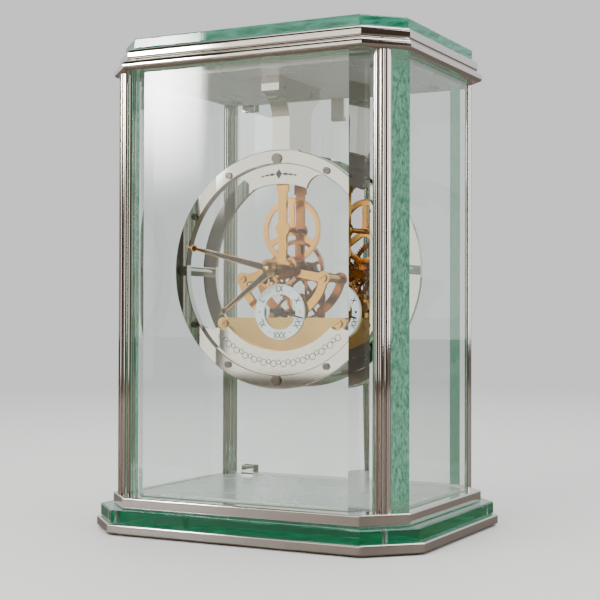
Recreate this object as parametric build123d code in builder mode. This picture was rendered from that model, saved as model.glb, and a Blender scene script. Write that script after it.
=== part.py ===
"""Glass-cased skeleton mantel clock, quartz movement hung from the ceiling of the case.

Millimetres, +Z up. Origin: middle of the footprint, on the surface the clock stands on.
The dial faces -Y; the hinged back door faces +Y.
"""
import os
from math import atan2, cos, degrees, hypot, pi, radians, sin, sqrt

from build123d import *

os.makedirs("parts", exist_ok=True)

# ---------------------------------------------------------------- driving dimensions
CASE_WIDTH = 189.0          # over the outer faces of the side glasses
CASE_DEPTH = 144.0          # over the outer faces of the front glass and the back door
COLUMN_HEIGHT = 258.0       # clear height between the base frame and the cornice
GLASS = 9.0                 # thickness of the four panels
FACET = 26.0                # width cut off each case corner by the bevelled glass edges
PAD_HEIGHT = 1.0
PAD_RADIUS = 7.0
PAD_INSET = 10.0            # pad axes in from the case's outer faces

# each canted layer: how much wider and deeper than the case, its cant and its height
PLINTH_OVER, PLINTH_CANT, PLINTH_HEIGHT = (31.0, 32.0), 27.0, 6.0
SLAB_OVER, SLAB_CANT, SLAB_HEIGHT = (25.0, 28.0), 25.0, 8.0
FRAME_OVER, FRAME_CANT, FRAME_HEIGHT = (11.0, 14.0), 21.5, 7.0
CORNICE_OVER, CORNICE_CANT, CORNICE_HEIGHT = (12.0, 14.6), 21.0, 6.0
CAP_OVER, CAP_CANT, CAP_HEIGHT = (8.0, 8.0), 20.8, 7.4
TOP_OVER, TOP_CANT, TOP_HEIGHT = (3.0, 1.4), 20.8, 6.6
PLATE_EDGE = 1.0            # small round on the metal edges
CORNICE_ROUND = 2.7         # bullnose of the two cornice mouldings
GLASS_CHAMFER = 0.8
SLAB_FILM = 0.05            # clear film above and below a glass slab

COLUMN_RADIUS = 5.15
REED_RADIUS = 1.65
REEDS = 8
ROD_RADIUS = 2.0            # tie rods that clamp the case together
NUT_FLATS = 7.0
NUT_HEIGHT = 3.0
ROD_RECESS = 0.6            # rod ends sit this far inside the plinth
ROD_COVER = 2.0             # metal left over the rods in the upper cornice
BOLT_CLEARANCE = 0.2        # radial, around rods and screws
SLIP = 0.04                 # radial, between pieces that turn on each other
DOOR_GAP = 0.5              # above and below the back door
LINER_HEIGHT = 1.0          # polished floor plate
CEILING_HEIGHT = 3.0
LINER_SIDE_MARGIN = 2.5     # liner plates stop this far inside the side glasses
LINER_END_MARGIN = 5.0      # and this far inside the front glass and the door

# back door
HINGE_INSET = 24.5          # hinge axis from the outer face of the left glass
HINGE_DEPTH = GLASS / 2     # hinge axis in the middle of the door's thickness
CLAMP_SIZE = 9.0
CLAMP_HEIGHT = 6.0
CLAMP_WALL = 1.2
PIN_RADIUS = 1.5
PIN_LENGTH = 4.0
KNOB_RADIUS = 6.0
KNOB_LENGTH = 9.0
KNOB_INSET = 56.0           # knob axis from the outer face of the right glass
KNOB_STEM = 2.0
KNOB_WASHER = 1.5
CATCH_WIDTH = 9.0
CATCH_DROP = 18.0
CATCH_SPRING = 1.6          # thickness of the catch's leaf
CATCH_NOSE = 3.0            # height of the nose that bears on the door

# dial and its carrier
DIAL_DROP = 117.0           # hand axis below the ceiling plate
DIAL_RADIUS = 73.0
CHAPTER_INNER = 64.5
WINDOW_RADIUS = 9.5         # rounded ends of the two windows
WINDOW_TOP_ANGLE = 31.0     # from twelve o'clock to the centre of a window's end
WINDOW_BOTTOM_ANGLE = 60.0  # from six o'clock
TOP_SEGMENT_INNER = 52.5
BOTTOM_SEGMENT_INNER = 50.0
DIAL_SCREW_CIRCLE = 67.7
DIAL_PLATE_BACK = -21.0
DIAL_PLATE_THICK = 2.5
CHAPTER_THICK = 2.5
REAR_RING_THICK = 3.0
REAR_RING_INNER = 63.5
DIAL_PILLAR_RADIUS = 3.0
LARGE_HEAD, SMALL_HEAD = 3.2, 2.1
LARGE_SHANK, SMALL_SHANK = 1.3, 0.9
HEAD_HEIGHT = 1.3
BITE = 1.2                  # depth of the screw ends in a pillar
CEILING_SHANK, CEILING_HEAD = 1.5, 2.8
CEILING_SCREW_INSET = 15.0  # ceiling screws in from the edges of the ceiling plate
CORNICE_COVER = 2.0         # metal left over the blind holes in the lower cornice
THREAD_END = 0.5            # a screw stops this far short of its blind hole

# hanger between the ceiling and the dial
HANGER_WIDTH = 12.0
HANGER_TOP = (-35.0, 20.0)  # front and back of its head
HANGER_HEAD = 9.0
HANGER_FLARE = 16.0
HANGER_BOTTOM = 64.0        # lower end, above the hand axis
STUD_RADIUS = 2.0
STUD_PLACES = (-27.0, 9.0)
STUD_END = 1.0              # a stud stops this far above the underside of the hanger's head
SET_SCREW_RADIUS, SET_SCREW_LENGTH = 2.0, 3.4
SET_SCREW_RISE = 2.5        # set screws above the underside of the head
SET_SCREW_RECESS = 0.6
LEG_SCREW_PLACE = -8.0      # depth of the screw in the hanger's leg

# movement frame
BOTTOM_PLATE_TOP = -29.5    # its straight top edge, from the hand axis
BOTTOM_PLATE_RADIUS = 56.0
PLATE = 2.0                 # thickness of the movement plates
REAR_BRIDGE_FRONT = 4.5
REAR_RING_STANDOFF = 1.5    # rear dial ring behind the rear bridge
REAR_RING_FRONT = REAR_BRIDGE_FRONT + PLATE + REAR_RING_STANDOFF
BAR_WIDTH = 5.6
BAR_HEAD_WIDTH = 8.0
BAR_TOP = 71.0
LUG = (28.0, -5.5)          # arm lugs, from the hand axis
FAN_SCREW = (39.5, -33.0)
RING_ARM_RADIUS = 29.0
ARM_WIDTH = 5.0
LUG_RADIUS = 4.2
PIVOT_RADIUS = 0.8
MOVEMENT_PILLAR_RADIUS = 2.3
BRIDGE_HEAD = 2.5           # screw heads on the movement plates
BAR_NECK = 23.0             # the bar widens this far above the display wheel's axis
BAR_BOSS = 4.7
LEG_ANGLE = 150.0           # from twelve o'clock to the foot of a bridge's curved leg
PIVOT_BOSS = 2.8            # metal round a pivot hole
PIVOT_STEP = 0.1            # a blind pivot stops this far short of its hole

# hands
HOUR_ANGLE, HOUR_TIP, HOUR_DOT, HOUR_WIDTH = 233.0, 47.3, 42.4, 5.4
MINUTE_ANGLE, MINUTE_TIP, MINUTE_DOT, MINUTE_WIDTH = 284.1, 62.6, 55.1, 5.0
HOUR_HAND_BACK = -31.0
MINUTE_HAND_BACK = -34.2
HAND_THICK = 0.8
HAND_END_WIDTH = 2.2
INLAY_MARGIN = 0.5
INLAY_DEPTH = 0.3
INLAY_TUCK = 0.1            # the inlay runs this far into the edge of the hub
HAND_HUB = 4.0
HAND_POINT = 1.4            # width of the pointed tip beyond the dot
MINUTE_ARBOR = 1.0
HOUR_PIPE = 2.2
TUBE_FOOT = 3.2             # foot of the centre tube in the front bridge
BRIDGE_HUB = 6.2
CENTRE_TUBE_RADIUS = 3.8
CENTRE_TUBE_FRONT = -29.5
BOSS_RADIUS = 4.4
BOSS_HEIGHT = 4.2
BOSS_LIP = 0.4

# seconds dial
SECONDS_DROP = 26.0         # seconds axis below the hand axis
SECONDS_OUTER, SECONDS_INNER = 17.0, 11.0
SECONDS_DIAL_THICK = 1.2
SECONDS_HAND_BACK = -24.2
SECONDS_ANGLE = 102.0
SECONDS_LENGTH, SECONDS_TAIL = 17.5, 5.5
SECONDS_HUB = 3.0
SECONDS_TIP_HALF, SECONDS_MIDDLE_HALF, SECONDS_TAIL_HALF = 0.35, 0.9, 1.5

# battery
CELL_RADIUS, CELL_LENGTH = 7.25, 49.5
CELL_DROP = 51.0            # cell axis below the hand axis
CELL_BACK = -7.0

# ---------------------------------------------------------------- levels and axes
plinth_z = PAD_HEIGHT
slab_z = plinth_z + PLINTH_HEIGHT
frame_z = slab_z + SLAB_HEIGHT
floor_z = frame_z + FRAME_HEIGHT
cornice_z = floor_z + COLUMN_HEIGHT
cap_z = cornice_z + CORNICE_HEIGHT
top_z = cap_z + CAP_HEIGHT
ceiling_z = cornice_z - CEILING_HEIGHT
axis_z = ceiling_z - DIAL_DROP

# corner columns stand with their sides flush with the canted edge of the base frame
corner_x = (CASE_WIDTH + FRAME_OVER[0] - FRAME_CANT) / 2 - COLUMN_RADIUS / sqrt(2)
corner_y = (CASE_DEPTH + FRAME_OVER[1] - FRAME_CANT) / 2 - COLUMN_RADIUS / sqrt(2)
CORNERS = [(sx * corner_x, sy * corner_y) for sx in (-1, 1) for sy in (-1, 1)]


def save(part, name):
    """Label a finished piece and write its STEP file."""
    part.part.label = name
    export_step(part.part, f"parts/{name}.step")


def face_plane(y):
    """A plane facing the viewer of the dial, with its origin on the hand axis."""
    return Plane((0, y, axis_z), x_dir=(1, 0, 0), z_dir=(0, -1, 0))


def clock_point(radius, clock_angle, centre=(0, 0)):
    """A point on the dial, its angle counted clockwise from twelve."""
    turn = radians(clock_angle)
    return (centre[0] + radius * sin(turn), centre[1] + radius * cos(turn))


def canted_layer(over, cant, bottom, height, bores=0.0, bore_depth=None, edge=None, bevel=None):
    """A rectangular layer of the case with cut-off corners and a bore at each tie rod."""
    with BuildSketch(Plane.XY.offset(bottom)) as outline:
        Rectangle(CASE_WIDTH + over[0], CASE_DEPTH + over[1])
        chamfer(outline.vertices(), length=cant)
    layer = extrude(outline.sketch, amount=height)
    faces = layer.faces().sort_by(Axis.Z)
    if edge:
        fillet(faces[0].edges() + faces[-1].edges(), radius=edge)
    if bevel:
        chamfer(faces[0].edges() + faces[-1].edges(), length=bevel)
    if bores:
        with BuildSketch(Plane.XY.offset(bottom)) as holes:
            with Locations(*CORNERS):
                Circle(bores)
        extrude(holes.sketch, amount=bore_depth or height, mode=Mode.SUBTRACT)


# ---------------------------------------------------------------- base
rod_bore = ROD_RADIUS + BOLT_CLEARANCE
nut_circle = NUT_FLATS / sqrt(3)

with BuildPart() as foot_pads:
    with Locations(*[(sx * (CASE_WIDTH / 2 - PAD_INSET), sy * (CASE_DEPTH / 2 - PAD_INSET), 0)
                     for sx in (-1, 1) for sy in (-1, 1)]):
        Cylinder(PAD_RADIUS, PAD_HEIGHT, align=(Align.CENTER, Align.CENTER, Align.MIN))
save(foot_pads, "foot_pads")

with BuildPart() as plinth_plate:
    canted_layer(PLINTH_OVER, PLINTH_CANT, plinth_z, PLINTH_HEIGHT, bores=rod_bore, edge=PLATE_EDGE)
    with BuildSketch(Plane.XY.offset(plinth_z)):
        with Locations(*CORNERS):
            Circle(nut_circle + BOLT_CLEARANCE)
    extrude(amount=NUT_HEIGHT + BOLT_CLEARANCE, mode=Mode.SUBTRACT)
save(plinth_plate, "plinth_plate")

with BuildPart() as base_glass_slab:
    canted_layer(SLAB_OVER, SLAB_CANT, slab_z + SLAB_FILM, SLAB_HEIGHT - 2 * SLAB_FILM, bores=rod_bore,
                 bevel=GLASS_CHAMFER)
save(base_glass_slab, "base_glass_slab")

hinge_x = -CASE_WIDTH / 2 + HINGE_INSET
hinge_y = CASE_DEPTH / 2 - HINGE_DEPTH
with BuildPart() as base_frame:
    canted_layer(FRAME_OVER, FRAME_CANT, frame_z, FRAME_HEIGHT, bores=rod_bore, edge=PLATE_EDGE)
    with Locations((hinge_x, hinge_y, floor_z)):
        Cylinder(PIN_RADIUS + SLIP, PIN_LENGTH + BOLT_CLEARANCE, mode=Mode.SUBTRACT,
                 align=(Align.CENTER, Align.CENTER, Align.MAX))
save(base_frame, "base_frame")

liner_width = CASE_WIDTH - 2 * GLASS - 2 * LINER_SIDE_MARGIN
liner_depth = CASE_DEPTH - 2 * GLASS - 2 * LINER_END_MARGIN
liner_cant = (FACET - GLASS) / 2

with BuildPart() as floor_plate:
    with BuildSketch(Plane.XY.offset(floor_z)) as liner_outline:
        Rectangle(liner_width, liner_depth)
        chamfer(liner_outline.vertices(), length=liner_cant)
    extrude(amount=LINER_HEIGHT)
save(floor_plate, "floor_plate")

# ---------------------------------------------------------------- columns and tie rods
lobe_circle = COLUMN_RADIUS - REED_RADIUS
for corner, (x, y) in zip(("front_left", "back_left", "front_right", "back_right"), CORNERS):
    with BuildPart() as column:
        with BuildSketch(Plane.XY.offset(floor_z)):
            with Locations((x, y)):
                Circle(lobe_circle + REED_RADIUS / 2)
                with PolarLocations(lobe_circle, REEDS, start_angle=180 / REEDS):
                    Circle(REED_RADIUS)
                Circle(rod_bore, mode=Mode.SUBTRACT)
        extrude(amount=COLUMN_HEIGHT)
    save(column, f"column_{corner}")

rod_bottom = plinth_z + ROD_RECESS
rod_top = cap_z + CAP_HEIGHT - ROD_COVER
with BuildPart() as tie_rods:
    with BuildSketch(Plane.XY.offset(rod_bottom)):
        with Locations(*CORNERS):
            Circle(ROD_RADIUS)
    extrude(amount=rod_top - rod_bottom)
    with BuildSketch(Plane.XY.offset(plinth_z + BOLT_CLEARANCE)):
        with Locations(*CORNERS):
            RegularPolygon(nut_circle, 6)
    extrude(amount=NUT_HEIGHT)
save(tie_rods, "tie_rods")


# ---------------------------------------------------------------- glass panels
def panel(width, outer, turn, bottom, height):
    """An upright glass with both vertical edges bevelled at 45 degrees over its whole thickness."""
    half = width / 2 - FACET
    outline = [(-half, -outer), (half, -outer), (half + GLASS, GLASS - outer), (-half - GLASS, GLASS - outer)]
    with BuildSketch(Plane.XY.offset(bottom).rotated((0, 0, turn))) as section:
        Polygon(*outline, align=None)
    extrude(section.sketch, amount=height)


with BuildPart() as front_glass:
    panel(CASE_WIDTH, CASE_DEPTH / 2, 0, floor_z, COLUMN_HEIGHT)
save(front_glass, "front_glass")
with BuildPart() as right_glass:
    panel(CASE_DEPTH, CASE_WIDTH / 2, 90, floor_z, COLUMN_HEIGHT)
save(right_glass, "right_glass")
with BuildPart() as left_glass:
    panel(CASE_DEPTH, CASE_WIDTH / 2, -90, floor_z, COLUMN_HEIGHT)
save(left_glass, "left_glass")

# ---------------------------------------------------------------- back door
door_bottom = floor_z + DOOR_GAP
door_top = cornice_z - DOOR_GAP
knob_x = CASE_WIDTH / 2 - KNOB_INSET
knob_z = (door_bottom + door_top) / 2

with BuildPart() as back_door_glass:
    panel(CASE_WIDTH, CASE_DEPTH / 2, 180, door_bottom + CLAMP_WALL, door_top - door_bottom - 2 * CLAMP_WALL)
    with BuildSketch(Plane((knob_x, CASE_DEPTH / 2, knob_z), x_dir=(1, 0, 0), z_dir=(0, -1, 0))):
        Circle(KNOB_STEM + BOLT_CLEARANCE)
    extrude(amount=GLASS, mode=Mode.SUBTRACT)
save(back_door_glass, "back_door_glass")

with BuildPart() as door_pivot_clamps:
    for end, outward in ((door_bottom, -1), (door_top, 1)):
        side = Align.MIN if outward < 0 else Align.MAX
        with Locations((hinge_x, hinge_y, end)):
            Box(CLAMP_SIZE, GLASS + 2 * CLAMP_WALL, CLAMP_HEIGHT, align=(Align.CENTER, Align.CENTER, side))
        with Locations((hinge_x, hinge_y, end - outward * CLAMP_WALL)):
            Box(CLAMP_SIZE + 1, GLASS, CLAMP_HEIGHT, mode=Mode.SUBTRACT,
                align=(Align.CENTER, Align.CENTER, side))
        with Locations((hinge_x, hinge_y, end)):
            Cylinder(PIN_RADIUS, DOOR_GAP + PIN_LENGTH,
                     align=(Align.CENTER, Align.CENTER, Align.MAX if outward < 0 else Align.MIN))
save(door_pivot_clamps, "door_pivot_clamps")

with BuildPart() as door_knob:
    knob_face = Plane((knob_x, CASE_DEPTH / 2, knob_z), x_dir=(1, 0, 0), z_dir=(0, 1, 0))
    with BuildSketch(knob_face):
        Circle(KNOB_RADIUS * 0.6)
    extrude(amount=KNOB_LENGTH / 2)
    with BuildSketch(knob_face.offset(KNOB_LENGTH / 2)):
        Circle(KNOB_RADIUS)
    extrude(amount=KNOB_LENGTH / 2)
    fillet(door_knob.edges().filter_by(GeomType.CIRCLE).sort_by(Axis.Y)[-1], radius=1.5)
    with BuildSketch(knob_face):
        Circle(KNOB_STEM)
    extrude(amount=-GLASS)
    with BuildSketch(knob_face.offset(-GLASS)):
        Circle(KNOB_STEM * 1.8)
    extrude(amount=-KNOB_WASHER)
save(door_knob, "door_knob")

# sprung catch hanging from the cornice just inside the door
catch_face = CASE_DEPTH / 2 - GLASS - DOOR_GAP
catch_front = liner_depth / 2 + BOLT_CLEARANCE
with BuildPart() as door_catch:
    with BuildSketch(Plane.YZ.offset(-CATCH_WIDTH / 2)):
        with BuildLine():
            Polyline((catch_front, cornice_z), (catch_front + CATCH_SPRING, cornice_z),
                     (catch_front + CATCH_SPRING, cornice_z - CATCH_DROP + CATCH_NOSE),
                     (catch_face, cornice_z - CATCH_DROP + CATCH_NOSE / 2),
                     (catch_face, cornice_z - CATCH_DROP), (catch_front, cornice_z - CATCH_DROP), close=True)
        make_face()
    extrude(amount=CATCH_WIDTH)
save(door_catch, "door_catch")

# ---------------------------------------------------------------- cornice, top and ceiling
screw_places = [(sx * (liner_width / 2 - CEILING_SCREW_INSET), sy * (liner_depth / 2 - CEILING_SCREW_INSET))
                for sx in (-1, 1) for sy in (-1, 1)]
blind = CORNICE_HEIGHT - CORNICE_COVER
with BuildPart() as cornice_lower:
    canted_layer(CORNICE_OVER, CORNICE_CANT, cornice_z, CORNICE_HEIGHT, bores=rod_bore, edge=CORNICE_ROUND)
    with Locations((hinge_x, hinge_y, cornice_z)):
        Cylinder(PIN_RADIUS + SLIP, PIN_LENGTH + BOLT_CLEARANCE, mode=Mode.SUBTRACT,
                 align=(Align.CENTER, Align.CENTER, Align.MIN))
    with Locations(*[(x, y, cornice_z) for x, y in screw_places]):
        Cylinder(CEILING_SHANK, blind, mode=Mode.SUBTRACT,
                 align=(Align.CENTER, Align.CENTER, Align.MIN))
    with Locations(*[(0, y, cornice_z) for y in STUD_PLACES]):
        Cylinder(STUD_RADIUS, blind, mode=Mode.SUBTRACT,
                 align=(Align.CENTER, Align.CENTER, Align.MIN))
save(cornice_lower, "cornice_lower")

with BuildPart() as cornice_upper:
    canted_layer(CAP_OVER, CAP_CANT, cap_z, CAP_HEIGHT, bores=ROD_RADIUS, bore_depth=rod_top - cap_z,
                 edge=CORNICE_ROUND)
save(cornice_upper, "cornice_upper")

with BuildPart() as top_glass_slab:
    canted_layer(TOP_OVER, TOP_CANT, top_z + SLAB_FILM, TOP_HEIGHT - SLAB_FILM, bevel=GLASS_CHAMFER)
save(top_glass_slab, "top_glass_slab")

with BuildPart() as ceiling_plate:
    with BuildSketch(Plane.XY.offset(ceiling_z)) as ceiling_outline:
        Rectangle(liner_width, liner_depth)
        chamfer(ceiling_outline.vertices(), length=liner_cant)
        with Locations(*screw_places):
            Circle(CEILING_SHANK + BOLT_CLEARANCE, mode=Mode.SUBTRACT)
        with Locations(*[(0, y) for y in STUD_PLACES]):
            Circle(STUD_RADIUS + BOLT_CLEARANCE, mode=Mode.SUBTRACT)
    extrude(amount=CEILING_HEIGHT)
save(ceiling_plate, "ceiling_plate")

with BuildPart() as ceiling_screws:
    with Locations(*[(x, y, ceiling_z) for x, y in screw_places]):
        Cylinder(CEILING_HEAD, HEAD_HEIGHT, align=(Align.CENTER, Align.CENTER, Align.MAX))
        Cylinder(CEILING_SHANK, CEILING_HEIGHT + blind - THREAD_END,
                 align=(Align.CENTER, Align.CENTER, Align.MIN))
    with Locations(*[(x, y, ceiling_z - HEAD_HEIGHT) for x, y in screw_places]):
        Box(CEILING_HEAD * 3, 0.7, 1.2, mode=Mode.SUBTRACT)
save(ceiling_screws, "ceiling_screws")

# ---------------------------------------------------------------- hanger
front_pocket = (DIAL_PLATE_BACK + PLATE, DIAL_PLATE_BACK + 2 * PLATE)
rear_pocket = (REAR_BRIDGE_FRONT, REAR_BRIDGE_FRONT + PLATE)
leg_front, leg_back = DIAL_PLATE_BACK, REAR_RING_FRONT
leg_bottom = axis_z + HANGER_BOTTOM
head_bottom = ceiling_z - HANGER_HEAD
flare_bottom = head_bottom - HANGER_FLARE
set_screw_z = head_bottom + SET_SCREW_RISE
leg_screw = (LEG_SCREW_PLACE, axis_z + DIAL_RADIUS)
flare_round = HANGER_FLARE * 1.05

with BuildPart() as hanger_bracket:
    with BuildSketch(Plane.YZ.offset(-HANGER_WIDTH / 2)):
        with BuildLine():
            Polyline((leg_front, flare_bottom), (leg_front, leg_bottom), (leg_back, leg_bottom),
                     (leg_back, flare_bottom))
            RadiusArc((leg_back, flare_bottom), (HANGER_TOP[1], head_bottom), flare_round)
            Polyline((HANGER_TOP[1], head_bottom), (HANGER_TOP[1], ceiling_z),
                     (HANGER_TOP[0], ceiling_z), (HANGER_TOP[0], head_bottom))
            RadiusArc((HANGER_TOP[0], head_bottom), (leg_front, flare_bottom), flare_round)
        make_face()
    extrude(amount=HANGER_WIDTH)
    for low, high in (front_pocket, rear_pocket):
        with Locations((0, (low + high) / 2, leg_bottom)):
            Box(HANGER_WIDTH, PLATE + BOLT_CLEARANCE, 2 * (BAR_TOP - HANGER_BOTTOM + BOLT_CLEARANCE),
                mode=Mode.SUBTRACT)
    with Locations(*[(0, y, ceiling_z) for y in STUD_PLACES]):
        Cylinder(STUD_RADIUS, HANGER_HEAD - STUD_END, mode=Mode.SUBTRACT,
                 align=(Align.CENTER, Align.CENTER, Align.MAX))
    with BuildSketch(Plane.YZ.offset(HANGER_WIDTH / 2)):
        with Locations(*[(y, set_screw_z) for y in STUD_PLACES], leg_screw):
            Circle(SET_SCREW_RADIUS)
    extrude(amount=-SET_SCREW_LENGTH, mode=Mode.SUBTRACT)
    for y, level in ((leg_front, axis_z + DIAL_SCREW_CIRCLE), (leg_back, axis_z + DIAL_SCREW_CIRCLE)):
        with Locations(Plane((0, y, level), x_dir=(1, 0, 0), z_dir=(0, 1 if y > 0 else -1, 0))):
            Cylinder(LARGE_SHANK, BITE, mode=Mode.SUBTRACT, align=(Align.CENTER, Align.CENTER, Align.MAX))
save(hanger_bracket, "hanger_bracket")

with BuildPart() as hanger_studs:
    with Locations(*[(0, y, head_bottom + STUD_END) for y in STUD_PLACES]):
        Cylinder(STUD_RADIUS, cornice_z + blind - head_bottom - STUD_END,
                 align=(Align.CENTER, Align.CENTER, Align.MIN))
save(hanger_studs, "hanger_studs")

with BuildPart() as hanger_set_screws:
    with BuildSketch(Plane.YZ.offset(HANGER_WIDTH / 2 - SET_SCREW_LENGTH)):
        with Locations(*[(y, set_screw_z) for y in STUD_PLACES], leg_screw):
            Circle(SET_SCREW_RADIUS)
    extrude(amount=SET_SCREW_LENGTH - SET_SCREW_RECESS)
    with BuildSketch(Plane.YZ.offset(HANGER_WIDTH / 2 - SET_SCREW_RECESS)):
        with Locations(*[(y, set_screw_z) for y in STUD_PLACES], leg_screw):
            RegularPolygon(SET_SCREW_RADIUS * 0.55, 6)
    extrude(amount=-1.5, mode=Mode.SUBTRACT)
save(hanger_set_screws, "hanger_set_screws")


# ---------------------------------------------------------------- dial
def sector(radius, start, end, mode=Mode.ADD):
    """A pie slice of the dial between two clock angles, in the current sketch."""
    middle = (start + end) / 2
    with BuildLine() as outline:
        Line((0, 0), clock_point(radius, start))
        ThreePointArc(clock_point(radius, start), clock_point(radius, middle), clock_point(radius, end))
        Line(clock_point(radius, end), (0, 0))
    make_face(outline.edges(), mode=mode)


window_circle = CHAPTER_INNER - WINDOW_RADIUS
window_ends = [side * angle for side in (-1, 1) for angle in (WINDOW_TOP_ANGLE, 180 - WINDOW_BOTTOM_ANGLE)]
large_places = [clock_point(DIAL_SCREW_CIRCLE, hour * 30) for hour in (0, 3, 6, 9)]
small_places = [clock_point(DIAL_SCREW_CIRCLE, hour * 30) for hour in (1, 2, 4, 5, 7, 8, 10, 11)]
FAN_SCREWS = [(-FAN_SCREW[0], FAN_SCREW[1]), FAN_SCREW]
LUGS = [(-LUG[0], LUG[1]), LUG]
dial_front = DIAL_PLATE_BACK - DIAL_PLATE_THICK
chapter_front = dial_front - CHAPTER_THICK

with BuildPart() as dial_plate:
    with BuildSketch(face_plane(DIAL_PLATE_BACK)):
        Circle(DIAL_RADIUS)
        Circle(BOTTOM_SEGMENT_INNER, mode=Mode.SUBTRACT)
        sector(TOP_SEGMENT_INNER, -WINDOW_TOP_ANGLE - 10, WINDOW_TOP_ANGLE + 10, Mode.SUBTRACT)
        for side in (-1, 1):
            sector(CHAPTER_INNER, side * WINDOW_TOP_ANGLE, side * (180 - WINDOW_BOTTOM_ANGLE), Mode.SUBTRACT)
        with Locations(*[clock_point(window_circle, angle) for angle in window_ends]):
            Circle(WINDOW_RADIUS, mode=Mode.SUBTRACT)
        with Locations(*FAN_SCREWS):
            Circle(LUG_RADIUS, mode=Mode.SUBTRACT)
        with Locations(*large_places):
            Circle(LARGE_SHANK, mode=Mode.SUBTRACT)
        with Locations(*small_places):
            Circle(SMALL_SHANK, mode=Mode.SUBTRACT)
    extrude(amount=DIAL_PLATE_THICK)
save(dial_plate, "dial_plate")

with BuildPart() as dial_ring:
    with BuildSketch(face_plane(dial_front)):
        Circle(DIAL_RADIUS)
        Circle(CHAPTER_INNER, mode=Mode.SUBTRACT)
        with Locations(*large_places):
            Circle(LARGE_SHANK, mode=Mode.SUBTRACT)
        with Locations(*small_places):
            Circle(SMALL_SHANK, mode=Mode.SUBTRACT)
    extrude(amount=CHAPTER_THICK)
    chamfer(dial_ring.faces().sort_by(Axis.Y)[0].edges().filter_by(lambda e: e.radius > CHAPTER_INNER - 1),
            length=0.5)
save(dial_ring, "dial_ring")


def screws(places, head_back, head_radius, shank_radius, shank_end, toward=1):
    """Slotted cheese-head screws in the current part; toward 1 faces the front, -1 the back."""
    seat = Plane((0, head_back, axis_z), x_dir=(toward, 0, 0), z_dir=(0, -toward, 0))
    seen = [(toward * x, y) for x, y in places]
    with BuildSketch(seat) as heads:
        with Locations(*seen):
            Circle(head_radius)
    extrude(heads.sketch, amount=HEAD_HEIGHT)
    with BuildSketch(seat) as shanks:
        with Locations(*seen):
            Circle(shank_radius)
    extrude(shanks.sketch, amount=-abs(shank_end - head_back))
    with BuildSketch(seat.offset(HEAD_HEIGHT)) as slots:
        with Locations(*seen):
            Rectangle(3 * head_radius, 0.25 * head_radius, rotation=30)
    extrude(slots.sketch, amount=-HEAD_HEIGHT / 2, mode=Mode.SUBTRACT)


with BuildPart() as dial_screws_small:
    screws(small_places, chapter_front, SMALL_HEAD, SMALL_SHANK, DIAL_PLATE_BACK)
save(dial_screws_small, "dial_screws_small")

rear_ring_back = REAR_RING_FRONT + REAR_RING_THICK
with BuildPart() as dial_screws_large:
    screws(large_places, chapter_front, LARGE_HEAD, LARGE_SHANK, DIAL_PLATE_BACK + BITE)
    screws(large_places, rear_ring_back, LARGE_HEAD, LARGE_SHANK, REAR_RING_FRONT - BITE, toward=-1)
save(dial_screws_large, "dial_screws_large")

with BuildPart() as rear_ring:
    with BuildSketch(face_plane(rear_ring_back)):
        Circle(DIAL_RADIUS)
        Circle(REAR_RING_INNER, mode=Mode.SUBTRACT)
        with Locations(*large_places):
            Circle(LARGE_SHANK, mode=Mode.SUBTRACT)
    extrude(amount=REAR_RING_THICK)
save(rear_ring, "rear_ring")

with BuildPart() as dial_pillars:
    with BuildSketch(face_plane(REAR_RING_FRONT)):
        with Locations(*large_places[1:]):
            Circle(DIAL_PILLAR_RADIUS)
    extrude(amount=REAR_RING_FRONT - DIAL_PLATE_BACK)
    for seat, depth in ((face_plane(REAR_RING_FRONT), BITE), (face_plane(DIAL_PLATE_BACK), -BITE)):
        with BuildSketch(seat):
            with Locations(*large_places[1:]):
                Circle(LARGE_SHANK)
        extrude(amount=depth, mode=Mode.SUBTRACT)
save(dial_pillars, "dial_pillars")

# ---------------------------------------------------------------- gear data
bridge_back = DIAL_PLATE_BACK + 2 * PLATE
hour_wheel_front = bridge_back + 0.5
minute_wheel_front = hour_wheel_front + 2.0
seconds_axis = (0.0, -SECONDS_DROP)
centre_axis = (0.0, 0.0)


def step(start, radius, clock_angle):
    """The point at a centre distance and clock angle from another axis."""
    return clock_point(radius, clock_angle, start)


def triangle(a, b, from_a, from_b):
    """The axis at given centre distances from two others, on the right of the line a to b."""
    span = hypot(b[0] - a[0], b[1] - a[1])
    along = (from_a ** 2 - from_b ** 2 + span ** 2) / (2 * span)
    across = sqrt(from_a ** 2 - along ** 2)
    ux, uy = (b[0] - a[0]) / span, (b[1] - a[1]) / span
    return (a[0] + along * ux - across * uy, a[1] + along * uy + across * ux)


CENTRE_M, THIRD_M, SECONDS_M, ROTOR_M = 0.6, 0.45, 0.4, 0.3
DISPLAY_M, CANNON_M, HOUR_M = 0.5, 0.5, 0.48
third_axis = triangle(centre_axis, seconds_axis, CENTRE_M * (64 + 8) / 2, THIRD_M * (60 + 8) / 2)
display_axis = (0.0, DISPLAY_M * (80 + 20) / 2)
intermediate_axis = step(seconds_axis, SECONDS_M * (50 + 10) / 2, 246.0)
rotor_axis = step(intermediate_axis, ROTOR_M * (48 + 8) / 2, 225.0)
lug_direction = degrees(atan2(-LUG[0], LUG[1])) % 360
minute_axis = step(centre_axis, CANNON_M * (12 + 36) / 2, lug_direction)


def meshed(phase, teeth, centre, other_teeth, other_centre):
    """Turn of a wheel whose gaps face the teeth of a wheel that it meshes with (degrees)."""
    line = degrees(atan2(other_centre[1] - centre[1], other_centre[0] - centre[0]))
    passed = (line - phase) * teeth / 360
    return line + 180 - (0.5 - passed) * 360 / other_teeth


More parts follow.
